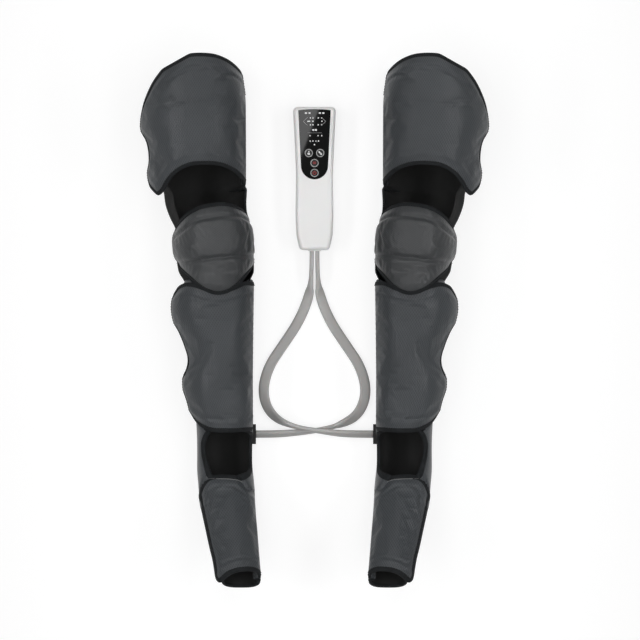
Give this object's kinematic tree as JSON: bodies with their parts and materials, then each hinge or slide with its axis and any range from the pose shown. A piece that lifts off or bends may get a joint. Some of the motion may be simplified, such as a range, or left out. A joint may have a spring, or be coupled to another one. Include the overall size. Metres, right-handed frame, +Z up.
{
  "type": "compression therapy pump",
  "caption": "Handheld air pump controller with round keys, joined by flat hoses to a pair of full-leg air compression wraps with opening flaps, knee pads and foot sleeves.",
  "frame": {"origin": "on the resting plane, midway between the two wraps and midway along them", "axes": "X across the set, +Y from the toes to the thighs, +Z up from the resting plane"},
  "size_m": [0.515, 0.8039, 0.1577],
  "materials": {
    "wrap_fabric": "fine three-dimensional mesh weave",
    "pad_fabric": "padded mesh weave with a soft sheen",
    "black_fabric": "dense brushed weave",
    "lining_fabric": "smooth tricot",
    "air_chamber": "coated film, welded",
    "hook_tape": "stiff hook pile",
    "heating_film": "flexible film",
    "hose_grey": "satin",
    "boot_black": "matte",
    "case_white": "satin white",
    "panel_black": "high gloss",
    "key_black": "gloss",
    "steel": "plain",
    "board_green": "solder resist",
    "component_black": "matte",
    "led_clear": "clear",
    "pump_body": "matte",
    "cell_wrap": "shrink sleeve",
    "clear_tube": "clear silicone"
  },
  "bodies": {
    "set": {"case_top": "case_white", "case_bottom": "case_white", "control_panel": "panel_black", "case_screws": "steel", "hose_collar": "hose_grey", "charging_port": "steel", "battery_cells": "cell_wrap", "circuit_board": "board_green", "key_switches": "component_black", "indicator_leds": "led_clear", "pump_motor": "steel", "air_pump": "pump_body", "air_valves": "component_black", "inner_air_tubes": "clear_tube", "hose_to_left": "hose_grey", "hose_to_right": "hose_grey", "calf_back_right": "wrap_fabric", "calf_airbag_right": "air_chamber", "calf_lining_right": "lining_fabric", "calf_hook_tape_right": "hook_tape", "knee_strap_right": "black_fabric", "hose_inlet_right": "boot_black", "calf_back_left": "wrap_fabric", "calf_airbag_left": "air_chamber", "calf_lining_left": "lining_fabric", "calf_hook_tape_left": "hook_tape", "knee_strap_left": "black_fabric", "hose_inlet_left": "boot_black"},
    "button_mode": {"button_mode": "key_black"},
    "button_level": {"button_level": "key_black"},
    "button_heat": {"button_heat": "key_black"},
    "button_power": {"button_power": "key_black"},
    "thigh_right": {"thigh_back_right": "wrap_fabric", "thigh_airbag_right": "air_chamber", "thigh_lining_right": "lining_fabric", "thigh_hook_tape_right": "hook_tape"},
    "thigh_flap_right": {"thigh_flap_right": "wrap_fabric"},
    "calf_flap_right": {"calf_flap_right": "wrap_fabric"},
    "knee_pad_right": {"knee_pad_right": "pad_fabric", "knee_heating_film_right": "heating_film"},
    "foot_right": {"foot_sole_right": "wrap_fabric", "foot_airbag_right": "air_chamber", "foot_lining_right": "lining_fabric", "foot_hook_tape_right": "hook_tape"},
    "foot_flap_right": {"foot_flap_right": "wrap_fabric"},
    "thigh_left": {"thigh_back_left": "wrap_fabric", "thigh_airbag_left": "air_chamber", "thigh_lining_left": "lining_fabric", "thigh_hook_tape_left": "hook_tape"},
    "thigh_flap_left": {"thigh_flap_left": "wrap_fabric"},
    "calf_flap_left": {"calf_flap_left": "wrap_fabric"},
    "knee_pad_left": {"knee_pad_left": "pad_fabric", "knee_heating_film_left": "heating_film"},
    "foot_left": {"foot_sole_left": "wrap_fabric", "foot_airbag_left": "air_chamber", "foot_lining_left": "lining_fabric", "foot_hook_tape_left": "hook_tape"},
    "foot_flap_left": {"foot_flap_left": "wrap_fabric"}
  },
  "joints": [
    {"name": "press_mode", "type": "slide", "parent": "set", "child": "button_mode", "axis": [0, 0, -1], "range_m": [0, 0.0007], "stiffness_N_per_m": 600},
    {"name": "press_level", "type": "slide", "parent": "set", "child": "button_level", "axis": [0, 0, -1], "range_m": [0, 0.0007], "stiffness_N_per_m": 600},
    {"name": "press_heat", "type": "slide", "parent": "set", "child": "button_heat", "axis": [0, 0, -1], "range_m": [0, 0.0007], "stiffness_N_per_m": 600},
    {"name": "press_power", "type": "slide", "parent": "set", "child": "button_power", "axis": [0, 0, -1], "range_m": [0, 0.0007], "stiffness_N_per_m": 600},
    {"name": "knee_bend_right", "type": "hinge", "parent": "set", "child": "thigh_right", "pos_m": [0.172, 0.191, 0.003], "axis": [-1, 0, 0], "range_deg": [-20, 0]},
    {"name": "open_thigh_flap_right", "type": "hinge", "parent": "thigh_right", "child": "thigh_flap_right", "pos_m": [0.1015, 0.187, 0.07135], "axis": [0, -0.9996, -0.0279], "range_deg": [0, 98]},
    {"name": "open_calf_flap_right", "type": "hinge", "parent": "set", "child": "calf_flap_right", "pos_m": [0.0885, -0.245, 0.04285], "axis": [0, -0.9984, -0.0559], "range_deg": [0, 100]},
    {"name": "open_knee_pad_right", "type": "hinge", "parent": "set", "child": "knee_pad_right", "pos_m": [0.091, 0.059, 0.0576], "axis": [-0.068, -0.9971, -0.034], "range_deg": [0, 100]},
    {"name": "ankle_bend_right", "type": "hinge", "parent": "set", "child": "foot_right", "pos_m": [0.128, -0.243, 0.003], "axis": [-1, 0, 0], "range_deg": [-20, 25]},
    {"name": "open_foot_flap_right", "type": "hinge", "parent": "foot_right", "child": "foot_flap_right", "pos_m": [0.0885, -0.22407, 0.03578], "axis": [-0.0441, -0.8939, 0.4461], "range_deg": [0, 100]},
    {"name": "knee_bend_left", "type": "hinge", "parent": "set", "child": "thigh_left", "pos_m": [-0.172, 0.191, 0.003], "axis": [-1, 0, 0], "range_deg": [-20, 0]},
    {"name": "open_thigh_flap_left", "type": "hinge", "parent": "thigh_left", "child": "thigh_flap_left", "pos_m": [-0.1015, 0.187, 0.07135], "axis": [0, 0.9996, 0.0279], "range_deg": [0, 98]},
    {"name": "open_calf_flap_left", "type": "hinge", "parent": "set", "child": "calf_flap_left", "pos_m": [-0.0885, -0.245, 0.04285], "axis": [0, 0.9984, 0.0559], "range_deg": [0, 100]},
    {"name": "open_knee_pad_left", "type": "hinge", "parent": "set", "child": "knee_pad_left", "pos_m": [-0.091, 0.059, 0.0576], "axis": [-0.068, 0.9971, 0.034], "range_deg": [0, 100]},
    {"name": "ankle_bend_left", "type": "hinge", "parent": "set", "child": "foot_left", "pos_m": [-0.128, -0.243, 0.003], "axis": [-1, 0, 0], "range_deg": [-20, 25]},
    {"name": "open_foot_flap_left", "type": "hinge", "parent": "foot_left", "child": "foot_flap_left", "pos_m": [-0.0885, -0.22407, 0.03578], "axis": [-0.0441, 0.8939, -0.4461], "range_deg": [0, 100]}
  ]
}
